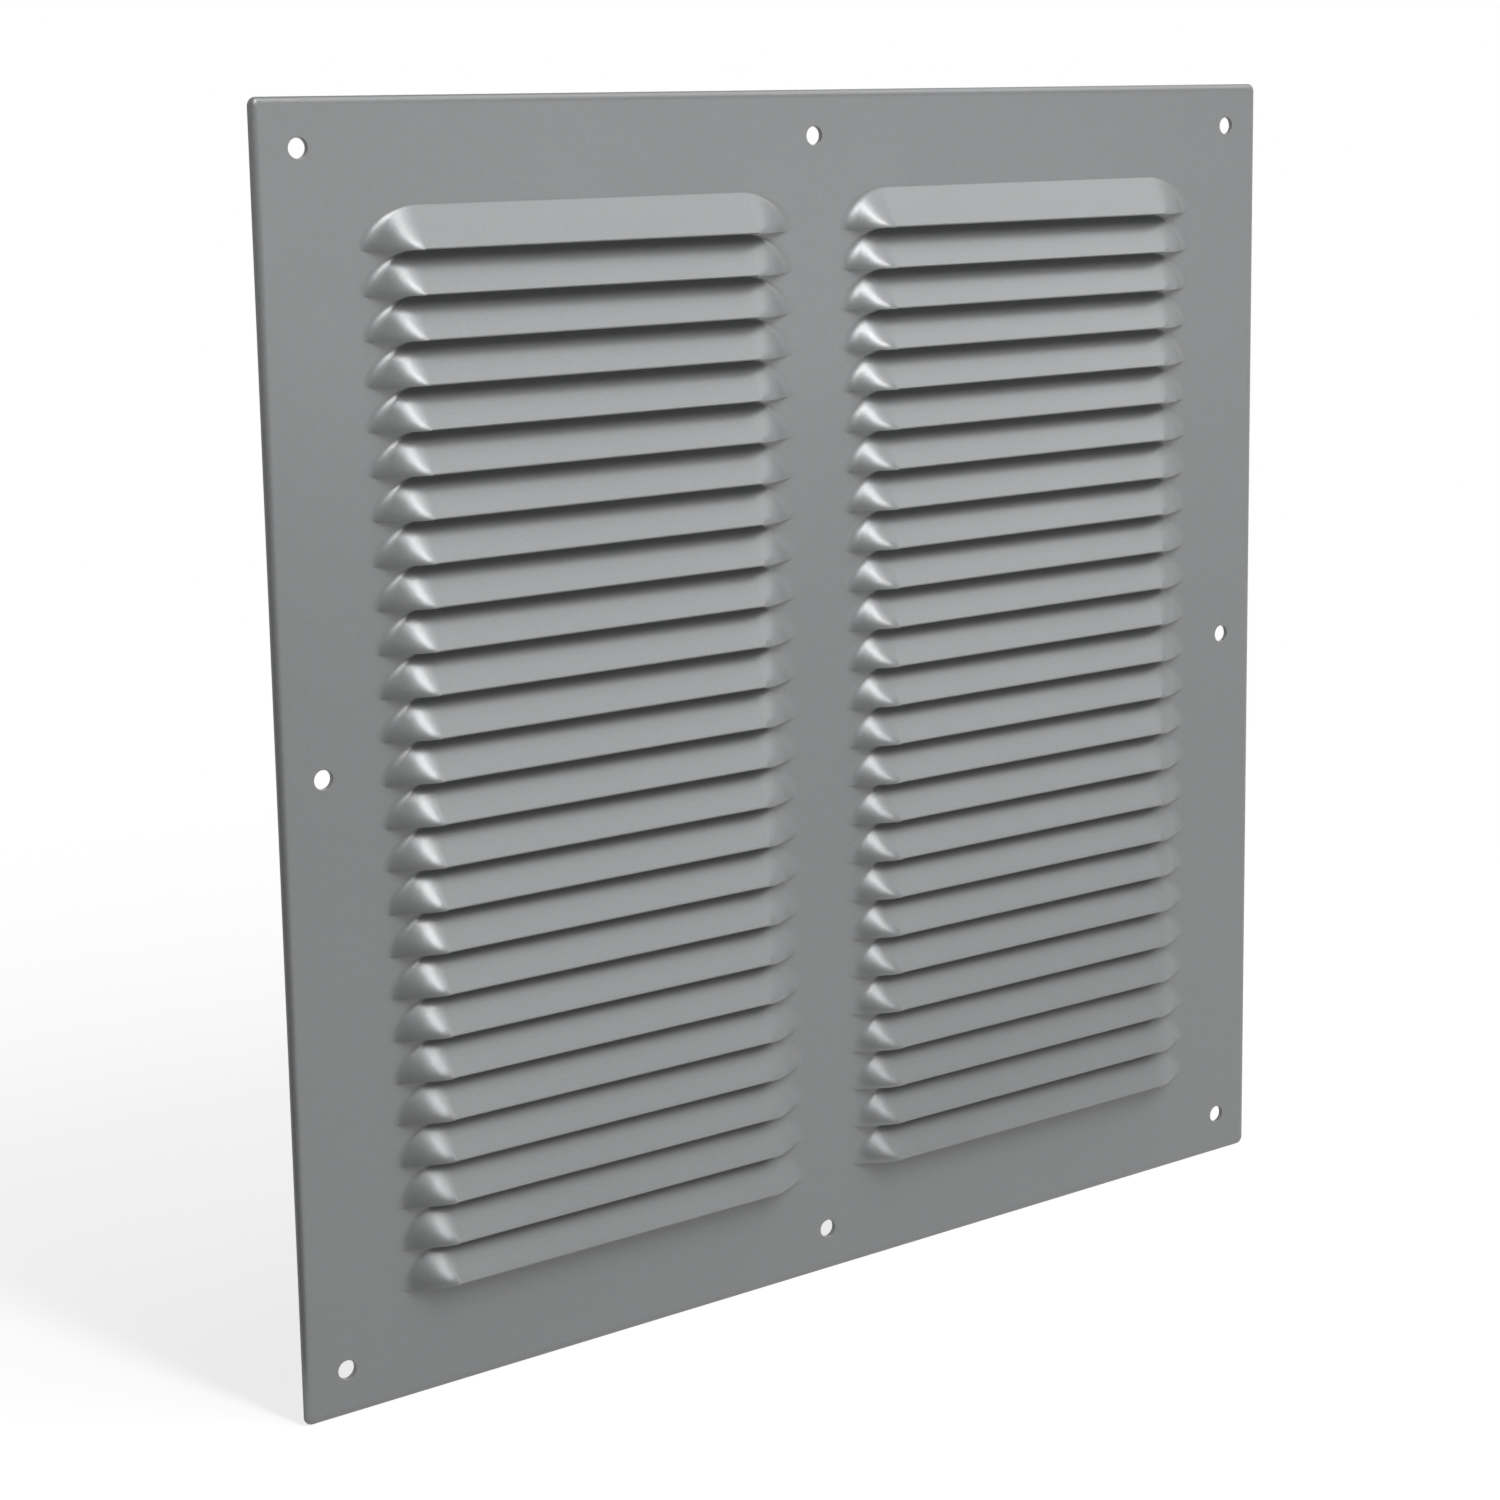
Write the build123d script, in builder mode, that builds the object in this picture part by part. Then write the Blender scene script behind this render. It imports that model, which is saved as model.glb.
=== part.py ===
"""Louvred ventilation grille: one square sheet, pressed and lanced into two columns of louvres.

The sheet stands upright. X runs to the right, Z up, and the louvred front faces -Y.
The origin is the middle of the back face, which lies on the wall. Sizes are in millimetres.
"""

import os
from math import cos, radians, tan

from build123d import *

# Sheet
plate_width = 300.0
plate_height = 300.0
sheet_thickness = 1.2
corner_radius = 2.0
# flat band left behind the rounding of the outer edge
rim_land = 0.2

# Screw holes: one in each corner and one in the middle of each side
screw_hole_diameter = 4.5
screw_hole_inset = 11.0

# Field of louvres, filled with as many rows as fit between the borders
louvre_columns = 2
louvre_pitch = 10.0
side_border = 26.5
top_border = 24.0
bottom_border = 25.0
centre_bridge = 18.0

# One louvre: it leans out of the sheet from its bend down to the lip over its open mouth
flap_angle = 30.0
# flat edge of the lip, parallel to the sheet
lip_land = 0.3
# strip of flat sheet between the mouth of one louvre and the bend of the next
louvre_strip = 0.3
# flats in the quarter turn at each end of a louvre
end_flats = 8

# Worked out from the above
rim_radius = sheet_thickness - rim_land
hole_radius = screw_hole_diameter / 2
hole_span_x = plate_width - 2 * screw_hole_inset
hole_span_z = plate_height - 2 * screw_hole_inset
bridges = (louvre_columns - 1) * centre_bridge
louvre_length = (plate_width - 2 * side_border - bridges) / louvre_columns
louvre_height = louvre_pitch - louvre_strip
straight_length = louvre_length - 2 * louvre_height
lip_projection = (louvre_height - lip_land) * tan(radians(flap_angle))
# thickness of the leaning sheet, measured straight out of the plate
flap_depth = sheet_thickness / cos(radians(flap_angle))
column_pitch = louvre_length + centre_bridge
field_height = plate_height - top_border - bottom_border
louvre_rows = int((field_height + louvre_strip) // louvre_pitch)
top_mouth = plate_height / 2 - top_border - louvre_height
field_middle = top_mouth - (louvre_rows - 1) * louvre_pitch / 2

# The form that presses one louvre, lying on XY: X along the lip, Y up the sheet, Z out of it.
# A long hipped roof with rounded ends, cut in half along its ridge: the cut is the louvre's mouth.
with BuildPart() as louvre_form:
    with BuildSketch():
        with GridLocations(straight_length, 0, 2, 1):
            RegularPolygon(louvre_height, 4 * end_flats, major_radius=False, rotation=180 / (4 * end_flats))
        make_hull()
    extrude(amount=lip_projection, taper=90 - flap_angle)
    split(bisect_by=Plane.ZX)

# The sheet: flat blank with its screw holes, rounded rim, and every louvre pressed out of it
with BuildPart() as grille:
    with BuildSketch(Plane.XZ):
        RectangleRounded(plate_width, plate_height, corner_radius)
        with GridLocations(hole_span_x, hole_span_z, 2, 2):
            Circle(hole_radius, mode=Mode.SUBTRACT)
        with GridLocations(hole_span_x, 0, 2, 1):
            Circle(hole_radius, mode=Mode.SUBTRACT)
        with GridLocations(0, hole_span_z, 1, 2):
            Circle(hole_radius, mode=Mode.SUBTRACT)
    extrude(amount=sheet_thickness)
    front = faces().sort_by(Axis.Y)[0]
    fillet(front.outer_wire().edges(), radius=rim_radius)
    # the outside of the louvres stands on the front face, and their inside is one sheet further back
    with Locations(Plane.XZ.offset(sheet_thickness)):
        with Locations((0, field_middle)):
            with GridLocations(column_pitch, louvre_pitch, louvre_columns, louvre_rows):
                add(louvre_form.part)
    with Locations(Plane.XZ.offset(sheet_thickness - flap_depth)):
        with Locations((0, field_middle)):
            with GridLocations(column_pitch, louvre_pitch, louvre_columns, louvre_rows):
                add(louvre_form.part, mode=Mode.SUBTRACT)

grille.part.label = "grille"
os.makedirs("parts", exist_ok=True)
export_step(grille.part, "parts/grille.step")
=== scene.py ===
"""Looks of the louvred ventilation grille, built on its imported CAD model.

The pressed sheet is worked out as one closed surface: louvres, flat borders, screw holes and rim.
Sizes are millimetres in the frame of the CAD model and become metres when a mesh is made:
X runs to the right, Z up, the back face lies on Y = 0 and the louvred front looks towards -Y.
A point of the sheet is written (x, z, out), with out measured from the flat front face.
"""

import logging
import math
from dataclasses import dataclass, field
from enum import Enum

import bmesh
import bpy
import numpy as np
from mathutils import Matrix, Vector


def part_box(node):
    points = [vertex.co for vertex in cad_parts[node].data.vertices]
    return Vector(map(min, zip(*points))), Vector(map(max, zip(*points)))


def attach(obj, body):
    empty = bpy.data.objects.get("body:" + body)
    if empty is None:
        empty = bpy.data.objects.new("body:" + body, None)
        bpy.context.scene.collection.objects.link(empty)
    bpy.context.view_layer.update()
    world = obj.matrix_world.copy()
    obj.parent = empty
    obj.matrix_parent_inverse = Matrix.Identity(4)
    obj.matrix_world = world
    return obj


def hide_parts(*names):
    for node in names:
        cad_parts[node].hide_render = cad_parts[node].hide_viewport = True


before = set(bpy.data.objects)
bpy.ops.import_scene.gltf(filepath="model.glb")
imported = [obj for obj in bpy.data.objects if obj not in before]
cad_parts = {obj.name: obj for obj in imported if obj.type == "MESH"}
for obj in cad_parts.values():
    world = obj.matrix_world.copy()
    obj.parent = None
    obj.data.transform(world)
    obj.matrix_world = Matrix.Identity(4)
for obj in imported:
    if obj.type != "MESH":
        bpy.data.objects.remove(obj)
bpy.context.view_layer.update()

MM = 0.001
log = logging.getLogger("grille")


class Face(Enum):
    """The two faces of the sheet."""

    FRONT = "front"
    BACK = "back"


def linear(hex_colour: str) -> tuple[float, float, float, float]:
    """Turns an sRGB hex colour into linear RGBA.

    Args:
        hex_colour: colour as #RRGGBB.

    Returns:
        Linear red, green and blue, and an alpha of one.
    """
    srgb = np.array([int(hex_colour[i:i + 2], 16) for i in (1, 3, 5)]) / 255
    rgb = np.where(srgb <= 0.04045, srgb / 12.92, ((srgb + 0.055) / 1.055) ** 2.4)
    return (*rgb.tolist(), 1.0)


def add_node(
    tree: bpy.types.NodeTree,
    kind: str,
    settings: dict[str, object] | None = None,
    inputs: dict[str | int, object] | None = None,
) -> bpy.types.Node:
    """Adds one node with its settings, and links or sets its inputs.

    Args:
        tree: node tree that takes the node.
        kind: Blender's name for the kind of node.
        settings: properties of the node.
        inputs: sockets by name or number; a socket as value is linked, anything else is set.

    Returns:
        The new node.
    """
    node = tree.nodes.new(kind)
    for name, value in (settings or {}).items():
        setattr(node, name, value)
    for name, value in (inputs or {}).items():
        if isinstance(value, bpy.types.NodeSocket):
            tree.links.new(value, node.inputs[name])
        else:
            node.inputs[name].default_value = value
    return node


@dataclass
class SheetSkin:
    """Gathers grids of points (x, z, out) and welds them into one closed mesh."""

    thickness: float
    weld: float = 1e-5
    grids: list[np.ndarray] = field(default_factory=list)

    def add(self, points: np.ndarray) -> None:
        """Adds one grid, or a stack of equal grids, of shape (..., rows, columns, 3)."""
        self.grids.append(points.reshape(-1, *points.shape[-3:]))

    def faces(self) -> tuple[np.ndarray, np.ndarray, np.ndarray]:
        """Joins each grid's neighbours into quads and welds the points that coincide.

        A quad that a weld leaves with three corners becomes a triangle, as at the pole of a fan.

        Returns:
            The welded points, the quads and the triangles.
        """
        corners = []
        first = 0
        for grid in self.grids:
            index = first + np.arange(grid.size // 3).reshape(grid.shape[:3])
            around = (index[:, :-1, :-1], index[:, 1:, :-1], index[:, 1:, 1:], index[:, :-1, 1:])
            corners.append(np.stack(around, axis=-1).reshape(-1, 4))
            first += grid.size // 3
        points = np.concatenate([grid.reshape(-1, 3) for grid in self.grids])
        cells = np.round(points / self.weld).astype(np.int64)
        _, kept, welded = np.unique(cells, axis=0, return_index=True, return_inverse=True)
        quads = welded.reshape(-1)[np.concatenate(corners)]
        repeated = quads == np.roll(quads, -1, axis=1)
        whole = ~repeated.any(axis=1)
        halved = repeated.sum(axis=1) == 1
        triangles = quads[halved][~repeated[halved]].reshape(-1, 3)
        return points[kept], quads[whole], triangles

    def make(self, name: str) -> bpy.types.Object:
        """Makes the welded mesh, in metres in the CAD frame, with its faces outward.

        Args:
            name: name of the object and its mesh.

        Returns:
            The object, linked to the scene.
        """
        points, quads, triangles = self.faces()
        x, z, out = points.T
        places = np.stack([x, -(self.thickness + out), z], axis=-1) * MM
        mesh = bpy.data.meshes.new(name)
        mesh.from_pydata(places.tolist(), [], quads.tolist() + triangles.tolist())
        shell = bmesh.new()
        shell.from_mesh(mesh)
        bmesh.ops.recalc_face_normals(shell, faces=shell.faces)
        shell.to_mesh(mesh)
        shell.free()
        piece = bpy.data.objects.new(name, mesh)
        bpy.context.scene.collection.objects.link(piece)
        return piece


@dataclass(frozen=True)
class LouvreForm:
    """One pressed louvre in its cell of the sheet: x along the lip, z up from the mouth.

    The sheet's profile (rounded lip, straight slope, soft bend) is carried along a path: a quarter
    fan about the left end of the lip, the straight run, and a quarter fan about the right end. The
    fans are drawn out along x, and close down on to the sheet past the ends of the cut.
    """

    thickness: float
    projection: float
    length: float = 114.5
    height: float = 9.7
    pitch: float = 10.0
    # width of the flat edge on the CAD lip, which the rounded lip replaces
    lip_land: float = 0.3
    lip_radius: float = 0.3
    # length of an end along the mouth
    end_run: float = 12.2
    # half widths of the bend, along the hinge and at the side of an end
    hinge_bend: float = 0.2
    end_bend: float = 2.0
    # how much flatter than a quarter ellipse an end is, as a share of its radius
    end_flatness: float = 0.04
    # share of the height that bulges at the side of an end
    end_bulge: float = 0.6
    # shares of an end over which the lip comes down to the sheet, past the end of the cut
    cut_from: float = 0.9
    cut_to: float = 1.1
    # height over which a closed tip rounds down to the sheet
    tip_round: float = 1.5
    # flat sheet kept between an end and the side of its cell
    cell_margin: float = 1.5
    side_steps: int = 6
    lip_steps: int = 3
    # places along the slope (to 0.5) and across the bend (0.5 to 1)
    shares: tuple[float, ...] = (0.15, 0.3, 0.4, 0.5, 0.6, 0.7, 0.8, 0.9, 1.0)

    @property
    def slope(self) -> float:
        """Rise of the louvre for each millimetre towards its lip."""
        return self.projection / (self.height - self.lip_land)

    @property
    def half_run(self) -> float:
        """Half of the lip's straight run, where the fans at the ends have their centres."""
        return self.length / 2 - self.end_run

    @property
    def stretch(self) -> float:
        """How much longer an end is along the mouth than the louvre is high."""
        return self.end_run / self.height

    @property
    def half_cell(self) -> float:
        """Half the width of the louvre's cell."""
        return self.half_run + (self.height + self.end_bend) * self.stretch + self.cell_margin

    @property
    def back_foot(self) -> float:
        """Reach of the bend on the back face, where the leaning sheet meets the flat one."""
        leaning = self.thickness * math.hypot(1.0, self.slope)
        return self.height - (leaning - self.thickness) / self.slope

    def rise(
        self, reach: np.ndarray, bend: np.ndarray | float, bulge: np.ndarray | float, foot: float
    ) -> np.ndarray:
        """Height of a sloping skin over the sheet.

        The distance inside the foot, brought to nought by a parabola, gives an even ramp. The
        share that bulges follows the sine of a quarter turn instead.

        Args:
            reach: distance from the lip, as it would be on the straight run.
            bend: half width of the parabola.
            bulge: share that bulges.
            foot: reach at which the straight ramp would end.

        Returns:
            The height at each reach, zero beyond the bend.
        """
        bent = np.clip(foot + bend - reach, 0, None) ** 2 / (4 * bend)
        inside = np.where(reach < foot - bend, foot - reach, bent) / foot
        return self.slope * foot * ((1 - bulge) * inside + bulge * np.sin(math.pi / 2 * inside))

    def kept(self, reach: np.ndarray, above: np.ndarray | float) -> np.ndarray:
        """Share of its height that a skin keeps where a tip closes past the end of the cut.

        Across the end of the cut the share passes smoothly from one to a parabola in the height
        above the mouth.

        Args:
            reach: distance from the lip, as it would be on the straight run.
            above: height above the mouth.

        Returns:
            The share at each place.
        """
        past = np.clip((reach / self.height - self.cut_from) / (self.cut_to - self.cut_from), 0, 1)
        up = np.clip(above / self.tip_round, 0, 1)
        return 1 - past ** 2 * (3 - 2 * past) * (1 - up) ** 2

    def samples(self) -> np.ndarray:
        """Shares of the slope and bend that are sampled, with the place where the inside of the
        louvre comes level with the front of the sheet at the mouth, so that the cut ends there."""
        reach = np.linspace(0, self.height, 4001)
        inside = self.rise(reach, self.end_bend, self.end_bulge, self.back_foot)
        inside = inside * self.kept(reach, 0.0)
        level = np.interp(-self.thickness, -inside, reach)
        start = self.lip_radius * (1 + self.slope / math.hypot(1.0, self.slope))
        bottom = self.height - self.end_bend
        if level < bottom:
            share = 0.5 * (level - start) / (bottom - start)
        else:
            share = 0.5 + 0.5 * (level - bottom) / (2 * self.end_bend)
        return np.sort(np.append(self.shares, share))

    def profile(
        self, side: np.ndarray, up: np.ndarray
    ) -> tuple[np.ndarray, np.ndarray, np.ndarray]:
        """Profile of the sheet from its lip to the foot of its bend.

        The front starts as an arc about the lip's edge, turning from the mouth to the slope.

        Args:
            side: share along x of the path's direction at each step.
            up: share along z of that direction.

        Returns:
            Reach from the lip, and heights of the front and the back, each (steps, places).
        """
        lean = math.atan(self.slope)
        turn = np.linspace(0, math.pi / 2 + lean, self.lip_steps + 1)
        centre = (self.height - self.lip_radius) * self.slope - self.lip_radius / math.cos(lean)
        lip_reach = np.broadcast_to(self.lip_radius * (1 - np.cos(turn)), (len(side), len(turn)))
        lip_front = np.broadcast_to(centre + self.lip_radius * np.sin(turn), lip_reach.shape)
        bend = (self.hinge_bend + (self.end_bend - self.hinge_bend) * side ** 2)[:, None]
        bulge = (self.end_bulge * side ** 2)[:, None]
        start = lip_reach[:, -1:]
        share = self.samples()
        reach = start + (self.height - bend - start) * np.clip(2 * share, 0, 1)
        reach = reach + 2 * bend * np.clip(2 * share - 1, 0, 1)
        front = np.concatenate([lip_front, self.rise(reach, bend, bulge, self.height)], axis=1)
        reach = np.concatenate([lip_reach, reach], axis=1)
        back = self.rise(reach, bend, bulge, self.back_foot)
        kept = self.kept(reach, up[:, None] * reach)
        return reach, front * kept, back * kept - self.thickness

    def skins(self) -> dict[Face, np.ndarray]:
        """Front and back of the louvre as grids over the path and the profile.

        A point lies at its reach from the path, in the path's direction. At the ends the reach is
        drawn in by the sine of twice the direction's angle, which flattens the quarter turn, and
        the turn is stretched along x.

        Returns:
            A grid (steps, places, 3) for each face.
        """
        steps = self.side_steps + len(self.mouth_line()) // 2 - 1
        turn = np.linspace(0, math.pi / 2, steps + 1)
        side = np.concatenate([-np.cos(turn), np.cos(turn[::-1])])
        up = np.concatenate([np.sin(turn), np.sin(turn[::-1])])
        centre = np.repeat([-self.half_run, self.half_run], steps + 1)
        reach, front, back = self.profile(side, up)
        drawn = reach * (1 - 2 * self.end_flatness * np.abs(side * up))[:, None]
        x = centre[:, None] + side[:, None] * drawn * self.stretch
        z = up[:, None] * drawn
        return {
            Face.FRONT: np.stack([x, z, front], axis=-1),
            Face.BACK: np.stack([x, z, back], axis=-1),
        }

    def mouth_line(self) -> np.ndarray:
        """Places along x of the mouth, from the left side of the cell to its right."""
        reach = self.profile(np.array([1.0]), np.array([0.0]))[0][0]
        right = np.append(self.half_run + reach * self.stretch, self.half_cell)
        return np.concatenate([-right[::-1], right])

    def surrounds(self) -> list[np.ndarray]:
        """Flat sheet between the louvre's foot and the outline of its cell, on both faces.

        The outline runs up the left side of the cell, along its top and down its right side, with
        one point for each step of the louvre's path.

        Returns:
            Grids of two columns: the foot and the outline.
        """
        climb = np.linspace(0, self.pitch, self.side_steps + 1)
        along = self.mouth_line()[1:-1]
        left = np.stack([np.full_like(climb, -self.half_cell), climb], axis=-1)
        top = np.stack([along, np.full_like(along, self.pitch)], axis=-1)
        edge = np.concatenate([left, top, left[::-1] * [-1.0, 1.0]])
        feet = [skin[:, -1] for skin in self.skins().values()]
        outlines = [np.concatenate([edge, foot[:, 2:]], axis=1) for foot in feet]
        return [np.stack(pair, axis=1) for pair in zip(feet, outlines)]

    def mouth_walls(self) -> list[np.ndarray]:
        """Cut edges of the sheet in the mouth: the louvre's own, and that of the sheet below.

        Where the inside of the louvre lies behind the front of the sheet, the two run together.

        Returns:
            Grids of two columns, one for each cut edge.
        """
        along = self.mouth_line()[1:-1]
        outside, inside = (
            np.concatenate([skin[0, ::-1, 2], skin[-1, :, 2]]) for skin in self.skins().values()
        )
        flap = [np.maximum(inside, 0.0), outside]
        sill = [np.full_like(inside, -self.thickness), np.minimum(inside, 0.0)]
        level = np.zeros_like(along)
        columns = [
            [np.stack([along, level, out], axis=-1) for out in pair] for pair in (flap, sill)
        ]
        return [np.stack(pair, axis=1) for pair in columns]


@dataclass(frozen=True)
class ScrewHole:
    """One punched screw hole and the flat square round it."""

    x: float
    z: float
    radius: float = 2.25
    # rounding that the punch and the lacquer leave on the front edge
    edge_radius: float = 0.25
    half_square: float = 4.0
    steps_per_side: int = 8
    edge_steps: int = 3

    def offsets(self) -> np.ndarray:
        """Places along a side of the square that are seen at equal angles from the hole."""
        angle = np.linspace(-math.pi / 4, math.pi / 4, self.steps_per_side + 1)
        return self.half_square * np.tan(angle)

    def patch(self, xs: np.ndarray, zs: np.ndarray, thickness: float) -> np.ndarray:
        """Square, rounded edge, bore and back, as a profile carried round the hole.

        Each step joins a point on the outline of the square to the circle at the same angle.

        Args:
            xs: grid lines across the square, in order.
            zs: grid lines up the square, in order.
            thickness: thickness of the sheet.

        Returns:
            A closed grid (steps, places, 3).
        """
        bottom = np.column_stack([xs, np.full_like(xs, zs[0])])[:-1]
        right = np.column_stack([np.full_like(zs, xs[-1]), zs])[:-1]
        top = np.column_stack([xs, np.full_like(xs, zs[-1])])[:0:-1]
        left = np.column_stack([np.full_like(zs, xs[0]), zs])[:0:-1]
        outline = np.concatenate([bottom, right, top, left, bottom[:1]])
        angle = np.arctan2(outline[:, 1] - self.z, outline[:, 0] - self.x)
        direction = np.column_stack([np.cos(angle), np.sin(angle)])
        turn = np.linspace(0, math.pi / 2, self.edge_steps + 1)
        radii = self.radius + self.edge_radius * (1 - np.sin(turn))
        outs = self.edge_radius * (np.cos(turn) - 1)
        radii = np.append(radii, self.radius)
        outs = np.append(outs, -thickness)
        ring = np.array([self.x, self.z]) + radii[:, None] * direction[:, None, :]
        depth = np.broadcast_to(outs[:, None], (len(angle), len(outs), 1))
        ring = np.concatenate([ring, depth], axis=-1)
        front = np.column_stack([outline, np.zeros(len(outline))])[:, None]
        back = np.column_stack([outline, np.full(len(outline), -thickness)])[:, None]
        return np.concatenate([front, ring, back], axis=1)


@dataclass(frozen=True)
class SilverLacquer:
    """Satin silver lacquer, sprayed on pressed aluminium sheet and baked.

    Fine aluminium flake in the lacquer gives a grey metal sheen with broad, soft highlights. The
    spray leaves a faint grain of flake, a slight orange peel and cloudy differences in gloss.
    """

    name: str = "silver_lacquer_sprayed_and_baked"
    pale: str = "#8B8C8D"
    deep: str = "#838485"
    metallic: float = 0.22
    gloss_low: float = 0.285
    gloss_high: float = 0.335
    # the flake is some 0.05 mm across; it is drawn coarser so that it shows in the render
    flake_mm: float = 0.7
    peel_mm: float = 1.8
    peel_depth_mm: float = 0.01
    cloud_mm: float = 60.0
    # heights of the cloudy noise between which the gloss changes
    cloud_from: float = 0.3
    cloud_to: float = 0.7

    def build(self) -> bpy.types.Material:
        """Builds the node material."""
        material = bpy.data.materials.new(self.name)
        material.use_nodes = True
        tree = material.node_tree
        tree.nodes.clear()
        place = add_node(tree, "ShaderNodeTexCoord").outputs["Object"]
        flake = add_node(tree, "ShaderNodeTexNoise", inputs={
            "Vector": place, "Scale": 1 / (self.flake_mm * MM), "Detail": 1.0})
        cloud = add_node(tree, "ShaderNodeTexNoise", inputs={
            "Vector": place, "Scale": 1 / (self.cloud_mm * MM), "Detail": 3.0})
        peel = add_node(tree, "ShaderNodeTexNoise", inputs={
            "Vector": place, "Scale": 1 / (self.peel_mm * MM), "Detail": 1.0})
        colour = add_node(tree, "ShaderNodeMix", {"data_type": "RGBA"}, {
            0: flake.outputs["Fac"], 6: linear(self.deep), 7: linear(self.pale)})
        gloss = add_node(tree, "ShaderNodeMapRange", inputs={
            "Value": cloud.outputs["Fac"],
            "From Min": self.cloud_from, "From Max": self.cloud_to,
            "To Min": self.gloss_low, "To Max": self.gloss_high})
        bump = add_node(tree, "ShaderNodeBump", inputs={
            "Height": peel.outputs["Fac"], "Distance": self.peel_depth_mm * MM, "Strength": 1.0})
        shader = add_node(tree, "ShaderNodeBsdfPrincipled", inputs={
            "Base Color": colour.outputs[2], "Metallic": self.metallic,
            "Roughness": gloss.outputs["Result"], "Normal": bump.outputs["Normal"]})
        add_node(tree, "ShaderNodeOutputMaterial", inputs={"Surface": shader.outputs["BSDF"]})
        return material


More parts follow.
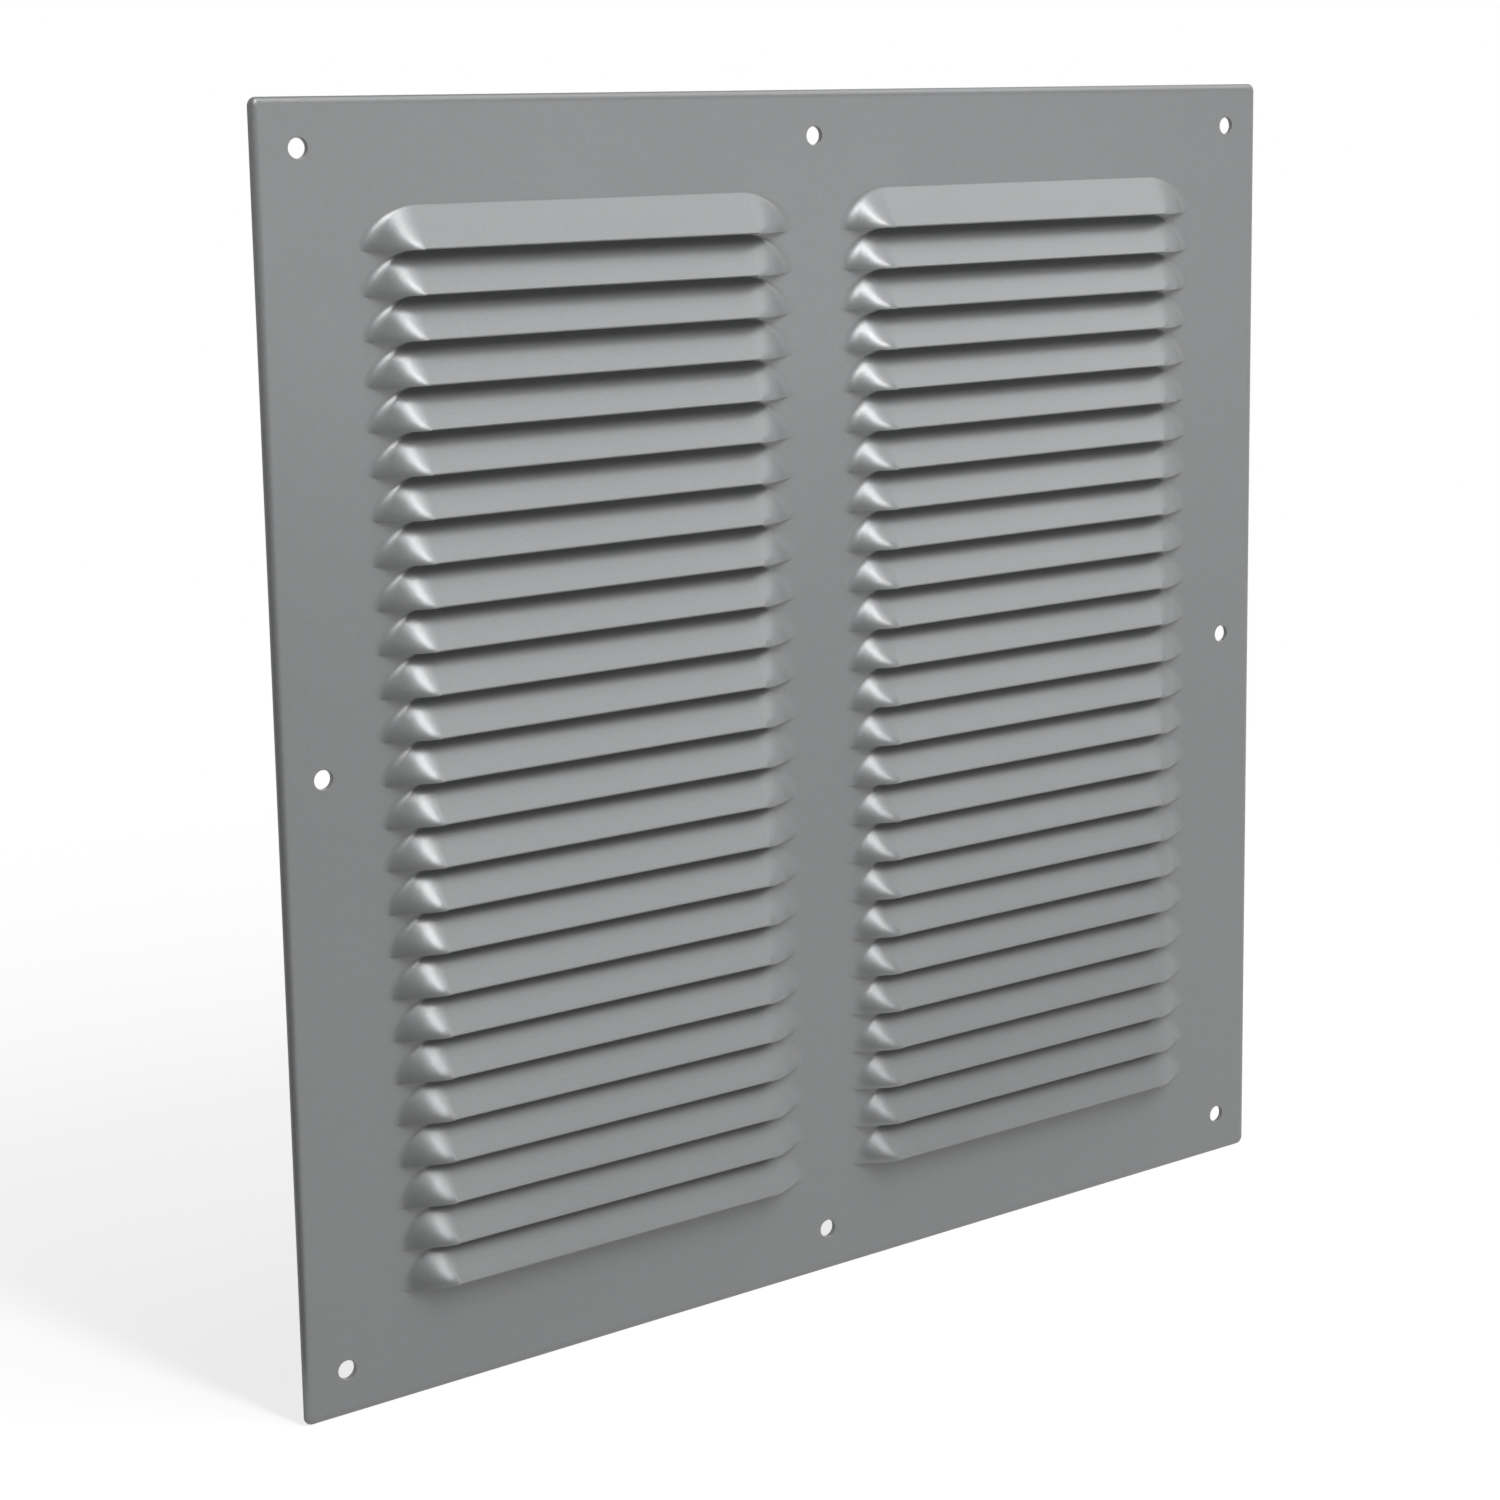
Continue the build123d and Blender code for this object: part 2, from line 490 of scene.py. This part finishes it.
@dataclass
class PressedSheet:
    """The grille: one sheet with two columns of louvres, eight screw holes and a rounded rim."""

    width: float
    height: float
    louvre: LouvreForm
    thickness: float = 1.2
    corner_radius: float = 2.0
    # depth of the rim's rounding, and its width on the front face
    rim_depth: float = 1.0
    rim_width: float = 1.8
    top_border: float = 24.0
    centre_bridge: float = 18.0
    rows: int = 25
    columns: int = 2
    screw_hole_inset: float = 11.0
    # flat sheet below the lowest mouths that is meshed with them
    sill: float = 2.5
    rim_steps: int = 5
    corner_steps: int = 8
    # turns sharper than this show as edges
    sharp_deg: float = 40.0
    name: str = "pressed_sheet"

    @property
    def column_middles(self) -> np.ndarray:
        """Middle of each column of louvres along x."""
        steps = np.arange(self.columns) - (self.columns - 1) / 2
        return steps * (self.louvre.length + self.centre_bridge)

    @property
    def mouths(self) -> np.ndarray:
        """Height of each row's mouth, from the top row down."""
        top = self.height / 2 - self.top_border - self.louvre.height
        return top - np.arange(self.rows) * self.louvre.pitch

    def holes(self) -> list[ScrewHole]:
        """One hole in each corner and one in the middle of each side."""
        x = self.width / 2 - self.screw_hole_inset
        z = self.height / 2 - self.screw_hole_inset
        places = [(i * x, k * z) for i in (-1, 0, 1) for k in (-1, 0, 1) if i or k]
        return [ScrewHole(*place) for place in places]

    def at_rows(self, grid: np.ndarray, mouths: np.ndarray) -> np.ndarray:
        """Copies a grid of a louvre to the given rows of both columns.

        Args:
            grid: points (rows, columns, 3) in a louvre's own cell.
            mouths: heights of the rows.

        Returns:
            A stack of grids.
        """
        x, z = np.meshgrid(self.column_middles, mouths)
        shift = np.stack([x.ravel(), z.ravel(), np.zeros(x.size)], axis=-1)
        return grid[None] + shift[:, None, None, :]

    def add_louvres(self, skin: SheetSkin) -> None:
        """Adds every louvre, the flat sheet round it, its cut edges and the sill below the last."""
        louvre = self.louvre
        for grid in [*louvre.skins().values(), *louvre.mouth_walls(), *louvre.surrounds()]:
            skin.add(self.at_rows(grid, self.mouths))
        x, z = np.meshgrid(louvre.mouth_line(), [0.0, -self.sill])
        for out in (0.0, -self.thickness):
            strip = np.stack([x, z, np.full_like(x, out)], axis=-1)
            skin.add(self.at_rows(strip, self.mouths[-1:]))

    def grid_lines(self) -> tuple[np.ndarray, np.ndarray]:
        """Lines of the flat grid: the sides of the cells and holes, carried across the sheet.

        Returns:
            Lines along x and along z, in order, out to the centres of the rounded corners.
        """
        louvre = self.louvre
        edge_x = self.width / 2 - self.corner_radius
        edge_z = self.height / 2 - self.corner_radius
        cell_x = (self.column_middles[:, None] + louvre.mouth_line()).ravel()
        climb = np.linspace(0, louvre.pitch, louvre.side_steps + 1)
        cell_z = (self.mouths[:, None] + climb).ravel()
        offsets = self.holes()[0].offsets()
        hole_x = np.concatenate([hole.x + offsets for hole in self.holes()])
        hole_z = np.concatenate([hole.z + offsets for hole in self.holes() if hole.z])
        xs = np.concatenate([[-edge_x, edge_x], cell_x, hole_x])
        zs = np.concatenate([[-edge_z, edge_z, self.mouths[-1] - self.sill], cell_z, hole_z])
        return np.unique(np.round(xs, 9)), np.unique(np.round(zs, 9))

    def hole_lines(
        self, hole: ScrewHole, xs: np.ndarray, zs: np.ndarray
    ) -> tuple[np.ndarray, np.ndarray]:
        """Grid lines that cross the square round a hole, which ends on the lines nearest to it.

        Args:
            hole: the hole.
            xs: all grid lines along x.
            zs: all grid lines along z.

        Returns:
            The lines along x and along z, in order.
        """
        found = []
        for lines, middle in ((xs, hole.x), (zs, hole.z)):
            first = np.abs(lines - middle + hole.half_square).argmin()
            last = np.abs(lines - middle - hole.half_square).argmin()
            found.append(lines[first:last + 1])
        return found[0], found[1]

    def add_borders(self, skin: SheetSkin) -> None:
        """Adds the flat sheet between louvres, holes and rim on both faces, and the holes."""
        louvre = self.louvre
        xs, zs = self.grid_lines()
        x, z = np.meshgrid((xs[:-1] + xs[1:]) / 2, (zs[:-1] + zs[1:]) / 2, indexing="ij")
        across = np.abs(x[..., None] - self.column_middles).min(axis=-1) < louvre.half_cell
        top = self.mouths[0] + louvre.pitch
        covered = across & (z < top) & (z > self.mouths[-1] - self.sill)
        for hole in self.holes():
            hole_x, hole_z = self.hole_lines(hole, xs, zs)
            inside = (x > hole_x[0]) & (x < hole_x[-1]) & (z > hole_z[0]) & (z < hole_z[-1])
            covered |= inside
            skin.add(hole.patch(hole_x, hole_z, self.thickness))
        i, k = np.nonzero(~covered)
        corners = np.stack([
            np.stack([xs[i + a], zs[k + b]], axis=-1) for a in (0, 1) for b in (0, 1)
        ], axis=1).reshape(-1, 2, 2, 2)
        for out in (0.0, -self.thickness):
            skin.add(np.concatenate([corners, np.full((*corners.shape[:3], 1), out)], axis=-1))

    def add_rim(self, skin: SheetSkin) -> None:
        """Adds the rim: flat, quarter ellipse, land and back, carried round the sheet's outline.

        The path runs along the outer grid lines and fans about the centres of the corners.
        """
        xs, zs = self.grid_lines()
        fan = np.linspace(0, math.pi / 2, self.corner_steps + 1)
        path = []
        heading = []
        for quarter in range(4):
            lines = (zs, xs, zs, xs)[quarter]
            along = lines if quarter in (0, 3) else lines[::-1]
            edge = ((xs[-1], zs[-1], xs[0], zs[0])[quarter]) * np.ones(len(along))
            side = np.column_stack([edge, along] if quarter % 2 == 0 else [along, edge])
            path += [side, np.repeat(side[-1:], len(fan), axis=0)]
            turn = quarter * math.pi / 2 + np.concatenate([np.zeros(len(along)), fan])
            heading.append(np.column_stack([np.cos(turn), np.sin(turn)]))
        path = np.concatenate(path)
        heading = np.concatenate(heading)
        turn = np.linspace(0, math.pi / 2, self.rim_steps + 1)
        flat = self.corner_radius - self.rim_width
        rounding = flat + self.rim_width * np.sin(turn)
        reach = np.concatenate([[0.0], rounding, [self.corner_radius, 0.0]])
        out = np.concatenate([[0.0], self.rim_depth * (np.cos(turn) - 1), [-self.thickness] * 2])
        places = path[:, None, :] + reach[:, None] * heading[:, None, :]
        outs = np.broadcast_to(out[:, None], (len(path), len(out), 1))
        skin.add(np.concatenate([places, outs], axis=-1))

    def build(self) -> bpy.types.Object:
        """Builds the sheet as one closed mesh with smooth bends and sharp cut edges."""
        skin = SheetSkin(self.thickness)
        self.add_louvres(skin)
        self.add_borders(skin)
        self.add_rim(skin)
        piece = skin.make(self.name)
        piece.data.shade_smooth()
        piece.data.set_sharp_from_angle(angle=math.radians(self.sharp_deg))
        even = piece.modifiers.new("even_shading", "WEIGHTED_NORMAL")
        even.keep_sharp = True
        return piece

    def dress(self, piece: bpy.types.Object, finish: SilverLacquer) -> None:
        """Gives the sheet its lacquer, and puts it in the place of the CAD node."""
        piece.data.materials.append(finish.build())
        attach(piece, "root")
        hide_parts("grille")


@dataclass(frozen=True)
class Viewpoint:
    """Camera at the photograph's viewing angle, from the left and a little above the middle.

    The place is in millimetres, the angles are degrees. The shift is a share of the picture.
    """

    place: tuple[float, float, float] = (-432.11, -572.64, 146.43)
    yaw: float = 35.707
    pitch: float = -9.305
    roll: float = -0.943
    lens: float = 70.226
    sensor: float = 36.0
    shift_y: float = -0.11

    def build(self) -> bpy.types.Object:
        """Makes the camera and hands it to the scene."""
        yaw, pitch, roll = (math.radians(a) for a in (self.yaw, self.pitch, self.roll))
        ahead = Vector((
            math.sin(yaw) * math.cos(pitch), math.cos(yaw) * math.cos(pitch), math.sin(pitch)))
        level = Vector((math.cos(yaw), -math.sin(yaw), 0.0))
        upward = level.cross(ahead)
        right = math.cos(roll) * level + math.sin(roll) * upward
        up = math.cos(roll) * upward - math.sin(roll) * level
        data = bpy.data.cameras.new("camera")
        data.lens = self.lens
        data.sensor_width = self.sensor
        data.shift_y = self.shift_y
        camera = bpy.data.objects.new("camera", data)
        turn = Matrix((right, up, -ahead)).transposed().to_4x4()
        camera.matrix_world = Matrix.Translation(Vector(self.place) * MM) @ turn
        bpy.context.scene.collection.objects.link(camera)
        bpy.context.scene.camera = camera
        return camera


def stage_sheet(name: str, points: np.ndarray) -> bpy.types.Object:
    """Makes a grid of points in metres into a surface that belongs to the stage.

    Args:
        name: name of the object and its mesh.
        points: grid of shape (rows, columns, 3).

    Returns:
        The object, linked to the scene.
    """
    skin = SheetSkin(0.0)
    skin.add(points)
    places, quads, triangles = skin.faces()
    mesh = bpy.data.meshes.new(name)
    mesh.from_pydata(places.tolist(), [], quads.tolist() + triangles.tolist())
    sheet = bpy.data.objects.new(name, mesh)
    bpy.context.scene.collection.objects.link(sheet)
    return sheet


@dataclass(frozen=True)
class Softbox:
    """One soft lamp: a rectangle of light that looks at the middle of the grille. Metres."""

    name: str
    direction: tuple[float, float, float]
    distance: float
    width: float
    height: float
    radiance: float

    def build(self) -> bpy.types.Object:
        """Makes the lamp, with the power that gives its face the radiance."""
        data = bpy.data.lights.new(self.name, "AREA")
        data.shape = "RECTANGLE"
        data.size = self.width
        data.size_y = self.height
        data.energy = self.radiance * math.pi * self.width * self.height
        lamp = bpy.data.objects.new(self.name, data)
        away = Vector(self.direction).normalized()
        lamp.location = away * self.distance
        lamp.rotation_mode = "QUATERNION"
        lamp.rotation_quaternion = away.to_track_quat("Z", "Y")
        lamp.visible_camera = False
        bpy.context.scene.collection.objects.link(lamp)
        return lamp


@dataclass(frozen=True)
class PaintedShadeCard:
    """A near-black card that only reflections see: it paints a dark reflection, painted shade, on
    the louvres' left ends in place of the pale floor. Metres.

    It lies on the floor as a fan about a place, between two headings from the front, to the right
    where they are positive, and rises upright at its far edge. Only shine sees it.
    """

    place: tuple[float, float]
    heading_deg: tuple[float, float]
    near: float
    far: float
    low: float
    high: float
    # near-black colour of the painted dark reflection on the louvres' left ends
    colour: str = "#0A0A0A"
    steps: int = 12
    name: str = "painted_shade_card"

    def build(self) -> bpy.types.Object:
        """Makes the painted-shade card: its bent profile is turned about the place."""
        heading = np.radians(np.linspace(*self.heading_deg, self.steps + 1))[:, None]
        ahead = np.array([self.near, self.far, self.far])
        z = np.array([self.low, self.low, self.high])
        x = self.place[0] + ahead * np.sin(heading)
        y = self.place[1] - ahead * np.cos(heading)
        cloth = stage_sheet(self.name, np.stack(np.broadcast_arrays(x, y, z), axis=-1))
        # only glossy rays see it, so it paints shade into reflections and casts no real shadow
        cloth.visible_camera = False
        cloth.visible_shadow = False
        cloth.visible_diffuse = False
        material = bpy.data.materials.new(self.name + "_felt")
        material.use_nodes = True
        tree = material.node_tree
        tree.nodes.clear()
        painted_shade_surface = add_node(tree, "ShaderNodeBsdfDiffuse", inputs={"Color": linear(self.colour)})
        add_node(tree, "ShaderNodeOutputMaterial", inputs={"Surface": painted_shade_surface.outputs[0]})
        cloth.data.materials.append(material)
        return cloth


def seen_share(tree: bpy.types.NodeTree) -> bpy.types.NodeSocket:
    """One for rays that show the surroundings: camera, glossy and transmission rays.

    Args:
        tree: node tree of a surface that stands round the grille.

    Returns:
        The share as a socket.
    """
    rays = add_node(tree, "ShaderNodeLightPath").outputs
    seen = add_node(tree, "ShaderNodeMath", {"operation": "MAXIMUM"}, {
        0: rays["Is Camera Ray"], 1: rays["Is Glossy Ray"]})
    seen = add_node(tree, "ShaderNodeMath", {"operation": "MAXIMUM"}, {
        0: seen.outputs[0], 1: rays["Is Transmission Ray"]})
    return seen.outputs[0]


@dataclass(frozen=True)
class WhiteScreen:
    """An upright round screen of white cloth: an arc about the grille, carried up. Metres.

    Its headings run from behind the grille (0) by its right (90) to its front (180).
    """

    name: str
    radius: float
    heading_deg: tuple[float, float]
    level: tuple[float, float]
    # light that it gives the room, against the white that is seen
    light: float = 0.15
    steps: int = 48

    def build(self) -> bpy.types.Object:
        """Makes the screen, which looks white and gives little light."""
        heading = np.radians(np.linspace(*self.heading_deg, self.steps + 1))[:, None]
        x = self.radius * np.sin(heading)
        y = self.radius * np.cos(heading)
        places = np.broadcast_arrays(x, y, np.array(self.level))
        screen = stage_sheet(self.name, np.stack(places, axis=-1))
        material = bpy.data.materials.new(self.name + "_white_cloth")
        material.use_nodes = True
        tree = material.node_tree
        tree.nodes.clear()
        share = add_node(tree, "ShaderNodeMapRange", inputs={
            "Value": seen_share(tree), "To Min": self.light, "To Max": 1.0})
        glow = add_node(tree, "ShaderNodeEmission", inputs={"Strength": share.outputs[0]})
        add_node(tree, "ShaderNodeOutputMaterial", inputs={"Surface": glow.outputs[0]})
        screen.data.materials.append(material)
        return screen


@dataclass(frozen=True)
class Studio:
    """White floor and screens, a dim room, soft lamps, and a dark card that paints shade into the
    louvres' reflections. Sizes are metres.
    """

    floor_level: float
    floor_radius: float = 30.0
    floor_rings: int = 24
    floor_spokes: int = 64
    floor_colour: str = "#ACACAC"
    # radii between which the shaded floor gives way to plain white
    shade_near: float = 0.25
    shade_far: float = 0.6
    floor_glow: float = 0.76
    room_colour: str = "#FFFFFF"
    room_light: float = 0.1
    lamps: tuple[Softbox, ...] = (
        Softbox("key_softbox", direction=(0.05, -0.70, 0.71), distance=1.2,
                width=0.16, height=0.56, radiance=24.0),
        Softbox("front_softbox", direction=(0.05, -0.88, 0.47), distance=1.6,
                width=0.36, height=0.26, radiance=8.5),
        Softbox("side_softbox", direction=(0.53, -0.45, 0.72), distance=1.5,
                width=1.1, height=1.1, radiance=1.8),
        Softbox("low_softbox", direction=(0.50, -0.86, 0.06), distance=1.6,
                width=0.9, height=0.35, radiance=1.42),
        Softbox("fill_softbox", direction=(-0.35, -0.80, 0.48), distance=1.6,
                width=0.8, height=0.4, radiance=0.5),
        Softbox("top_softbox", direction=(0.12, -0.25, 0.96), distance=1.6,
                width=0.5, height=0.5, radiance=3.0),
        Softbox("rear_softbox", direction=(0.30, 0.80, 0.30), distance=1.8,
                width=1.2, height=1.2, radiance=0.5),
    )
    screens: tuple[WhiteScreen, ...] = (
        WhiteScreen("backdrop", radius=5.0, heading_deg=(-112.0, 134.0), level=(-0.15, 6.0)),
        WhiteScreen("front_screen", radius=1.75, heading_deg=(152.0, 186.0), level=(0.28, 0.72)),
    )
    # dark card that only reflections see: painted shade on the louvres' left ends
    cloth: PaintedShadeCard = PaintedShadeCard(
        place=(-0.16, 0.0), heading_deg=(-80.0, 8.0), near=0.02, far=0.8, low=-0.148, high=0.02)

    def build_world(self) -> None:
        """The dim room round the studio, an even weak light."""
        world = bpy.data.worlds.new("dim_room")
        bpy.context.scene.world = world
        world.use_nodes = True
        tree = world.node_tree
        tree.nodes.clear()
        room = add_node(tree, "ShaderNodeBackground", inputs={
            "Color": linear(self.room_colour), "Strength": self.room_light})
        add_node(tree, "ShaderNodeOutputWorld", inputs={"Surface": room.outputs[0]})

    def build_floor(self) -> bpy.types.Object:
        """Round floor under the grille: rings of growing radius, each turned about the middle."""
        ring = np.linspace(0, 1, self.floor_rings + 1)[:, None] ** 3 * self.floor_radius
        angle = np.linspace(0, 2 * math.pi, self.floor_spokes + 1)
        x = ring * np.cos(angle)
        y = ring * np.sin(angle)
        z = np.full_like(x, self.floor_level * MM)
        floor = stage_sheet("floor", np.stack([x, y, z], axis=-1))
        floor.data.materials.append(self.paper())
        return floor

    def paper(self) -> bpy.types.Material:
        """White paper: it takes the shadow near the grille and fades to plain white further off."""
        material = bpy.data.materials.new("white_studio_paper")
        material.use_nodes = True
        tree = material.node_tree
        tree.nodes.clear()
        place = add_node(tree, "ShaderNodeTexCoord").outputs["Object"]
        away = add_node(tree, "ShaderNodeVectorMath", {"operation": "LENGTH"}, {0: place})
        far = add_node(tree, "ShaderNodeMapRange", {"interpolation_type": "SMOOTHSTEP"}, {
            "Value": away.outputs["Value"],
            "From Min": self.shade_near, "From Max": self.shade_far})
        seen = seen_share(tree)
        glow = add_node(tree, "ShaderNodeMath", {"operation": "MULTIPLY"}, {
            0: seen, 1: self.floor_glow})
        plain = add_node(tree, "ShaderNodeMath", {"operation": "MULTIPLY"}, {
            0: seen, 1: far.outputs[0]})
        paper = add_node(tree, "ShaderNodeBsdfDiffuse", inputs={"Color": linear(self.floor_colour)})
        sheen = add_node(tree, "ShaderNodeEmission", inputs={"Strength": glow.outputs[0]})
        shaded = add_node(tree, "ShaderNodeAddShader", inputs={
            0: paper.outputs[0], 1: sheen.outputs[0]})
        white = add_node(tree, "ShaderNodeEmission", inputs={"Strength": 1.0})
        floor = add_node(tree, "ShaderNodeMixShader", inputs={
            0: plain.outputs[0], 1: shaded.outputs[0], 2: white.outputs[0]})
        add_node(tree, "ShaderNodeOutputMaterial", inputs={"Surface": floor.outputs[0]})
        return material

    def build(self) -> None:
        """Builds the room, the floor, the white screens, the card that paints dark reflections and
        the lamps.
        """
        self.build_world()
        self.build_floor()
        for screen in self.screens:
            screen.build()
        self.cloth.build()
        for lamp in self.lamps:
            lamp.build()


def main() -> None:
    """Builds the grille, the studio and the camera."""
    logging.basicConfig(level=logging.INFO, format="%(name)s: %(message)s")
    low, high = (np.array(corner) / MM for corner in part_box("grille"))
    thickness = PressedSheet.thickness
    louvre = LouvreForm(thickness, high[1] - low[1] - thickness)
    sheet = PressedSheet(high[0] - low[0], high[2] - low[2], louvre)
    piece = sheet.build()
    sheet.dress(piece, SilverLacquer())
    log.info("%s: %d faces", piece.name, len(piece.data.polygons))
    Studio(low[2]).build()
    Viewpoint().build()
    bpy.context.scene.view_settings.view_transform = "Standard"


if __name__ == "__main__":
    main()
